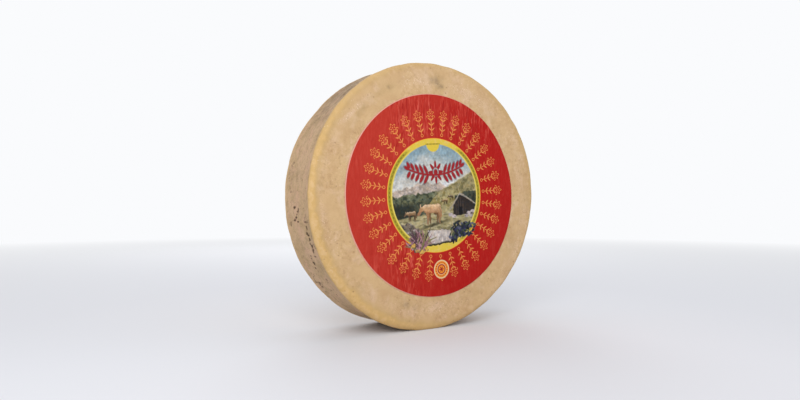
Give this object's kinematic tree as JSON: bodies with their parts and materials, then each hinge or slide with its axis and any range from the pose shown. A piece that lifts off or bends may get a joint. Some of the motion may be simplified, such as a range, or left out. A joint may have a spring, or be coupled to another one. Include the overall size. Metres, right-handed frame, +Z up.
{
  "type": "cheese wheel",
  "caption": "Whole wheel of mountain cheese with a natural brown rind, standing on its rim, with a round paper label pasted on one face.",
  "frame": {"origin": "on the surface that the wheel stands on, straight under the wheel's middle", "axes": "+Z up, +Y along the wheel's axis from the labelled face to the bare back face, +X to the right of someone who looks at the label"},
  "size_m": [0.4021, 0.0954, 0.3968],
  "materials": {
    "rind": "matte",
    "label_paper": "matte"
  },
  "bodies": {
    "root": {"cheese_wheel": "rind", "paper_label": "label_paper"}
  },
  "joints": []
}
